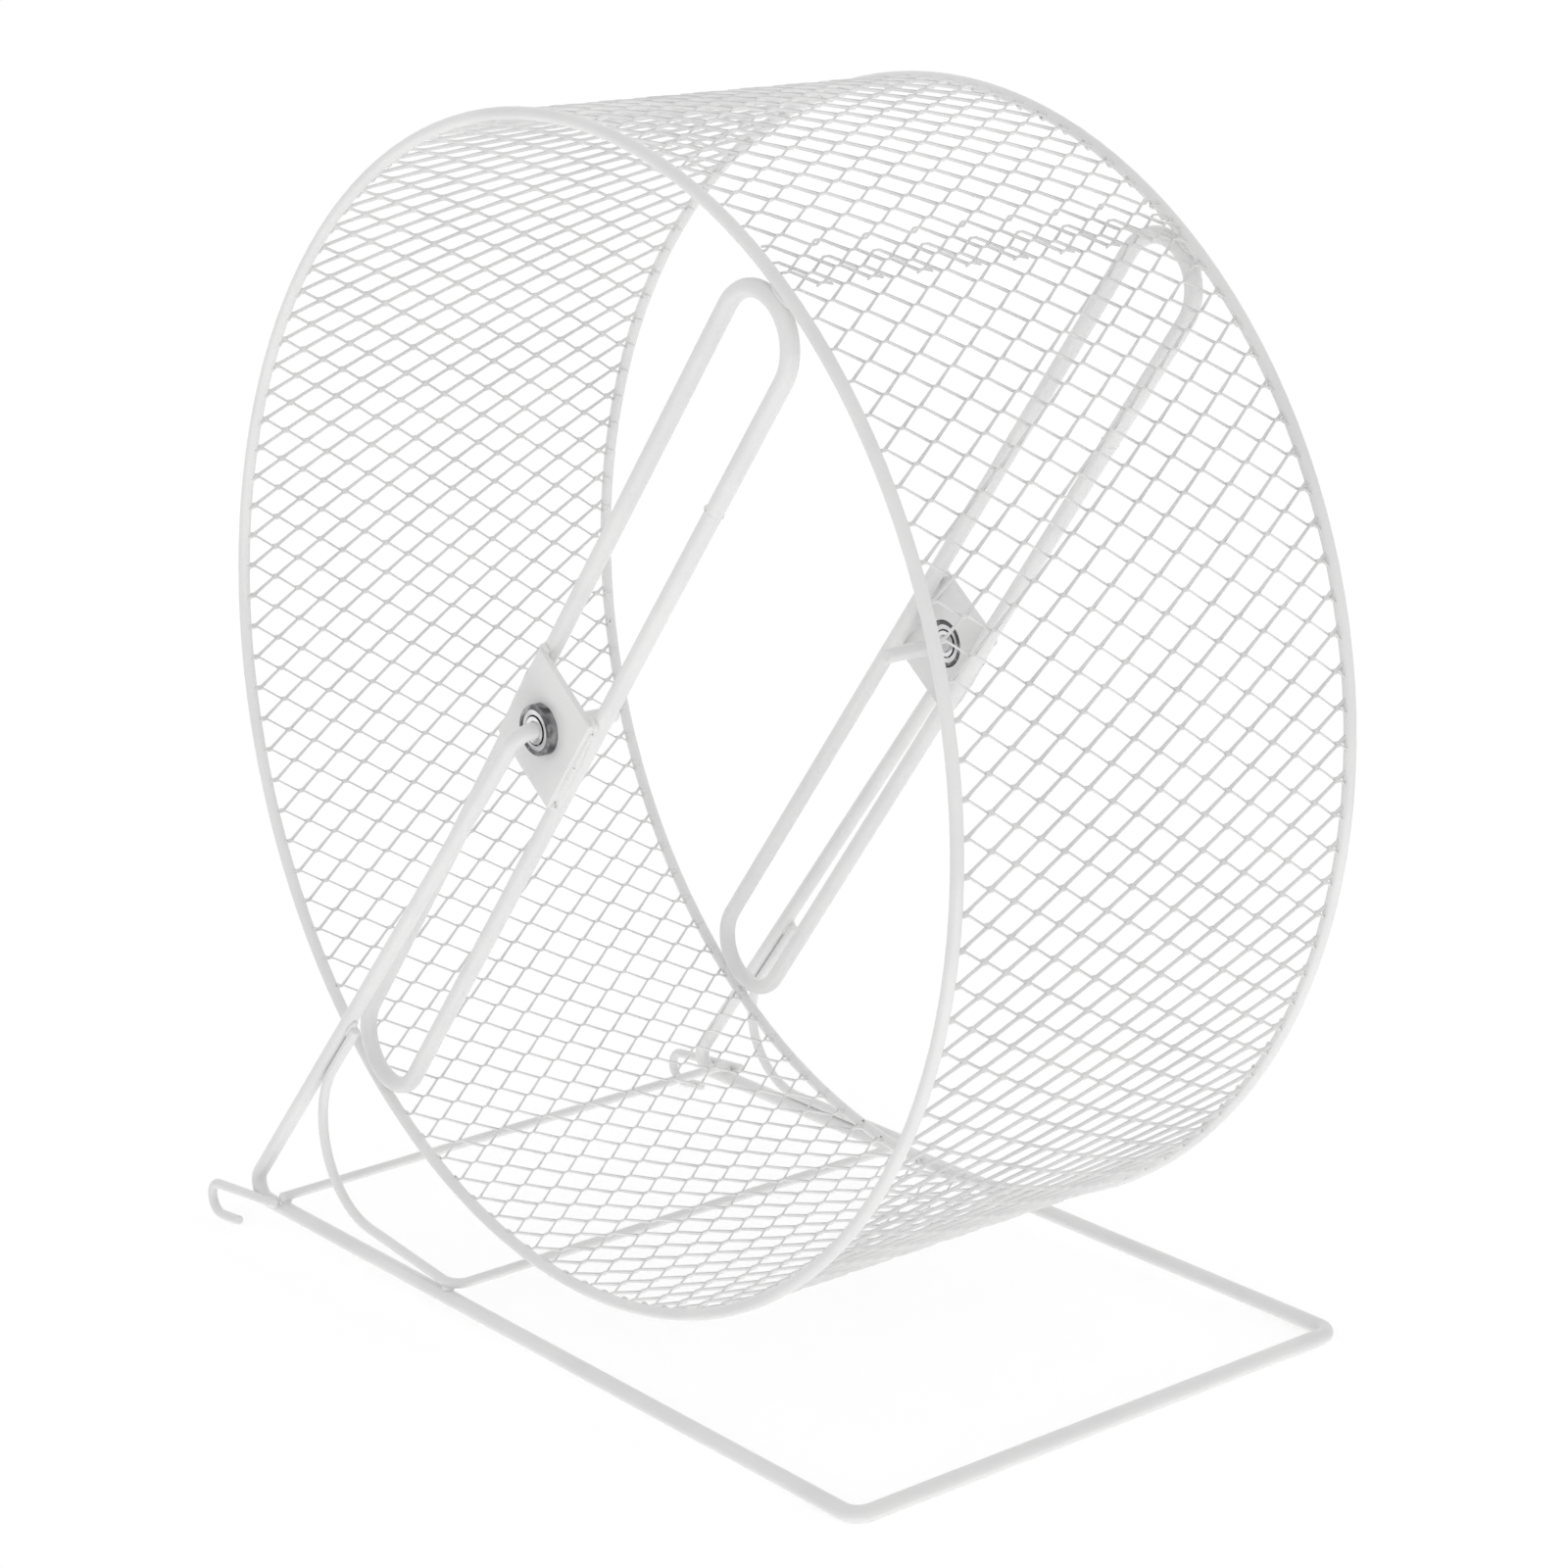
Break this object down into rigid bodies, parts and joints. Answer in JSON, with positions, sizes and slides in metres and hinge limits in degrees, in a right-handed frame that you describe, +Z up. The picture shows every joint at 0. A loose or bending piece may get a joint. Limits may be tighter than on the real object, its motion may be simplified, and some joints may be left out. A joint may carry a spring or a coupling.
{
  "type": "rodent exercise wheel",
  "caption": "Open exercise wheel with an expanded-metal running drum between wire rims, turning on ball bearings on the bent ends of a wire stand with cage hooks.",
  "frame": {"origin": "middle of the footprint, on the floor the stand rests on", "axes": "+Z up, +X forward from the legs to the front bar, +Y along the axle from the near side to the far side"},
  "size_m": [0.285, 0.1548, 0.2921],
  "materials": {
    "white_coat": "gloss dip coat",
    "mesh_coat": "gloss dip coat",
    "bearing_steel": "ground and polished",
    "shield_steel": "bright pressed sheet",
    "cage_steel": "oiled pressed sheet",
    "ball_steel": "polished"
  },
  "bodies": {
    "stand": {"stand_frame": "white_coat", "rear_crossbar": "white_coat", "brace_bar": "white_coat", "near_hook": "white_coat", "far_hook": "white_coat", "near_bearing_inner_ring": "bearing_steel", "far_bearing_inner_ring": "bearing_steel"},
    "wheel": {"near_rim": "white_coat", "far_rim": "white_coat", "running_mesh": "mesh_coat", "near_spoke_loop": "white_coat", "far_spoke_loop": "white_coat", "near_hub_plate": "white_coat", "far_hub_plate": "white_coat", "near_bearing_outer_ring": "bearing_steel", "far_bearing_outer_ring": "bearing_steel", "near_bearing_outer_shield": "shield_steel", "near_bearing_inner_shield": "shield_steel", "far_bearing_outer_shield": "shield_steel", "far_bearing_inner_shield": "shield_steel"},
    "near_cage": {"near_bearing_balls": "ball_steel", "near_bearing_cage": "cage_steel"},
    "far_cage": {"far_bearing_balls": "ball_steel", "far_bearing_cage": "cage_steel"}
  },
  "joints": [
    {"name": "wheel_spin", "type": "hinge", "parent": "stand", "child": "wheel", "pos_m": [0.00307, 0, 0.15264], "axis": [0, 1, 0], "continuous": true},
    {"name": "near_cage_spin", "type": "hinge", "parent": "stand", "child": "near_cage", "pos_m": [0.00307, -0.0617, 0.15264], "axis": [0, 1, 0], "continuous": true},
    {"name": "far_cage_spin", "type": "hinge", "parent": "stand", "child": "far_cage", "pos_m": [0.00307, 0.0617, 0.15264], "axis": [0, 1, 0], "continuous": true}
  ],
  "couplings": [
    {"joint": "near_cage_spin", "follows": "wheel_spin", "ratio": 0.625},
    {"joint": "far_cage_spin", "follows": "wheel_spin", "ratio": 0.625}
  ]
}
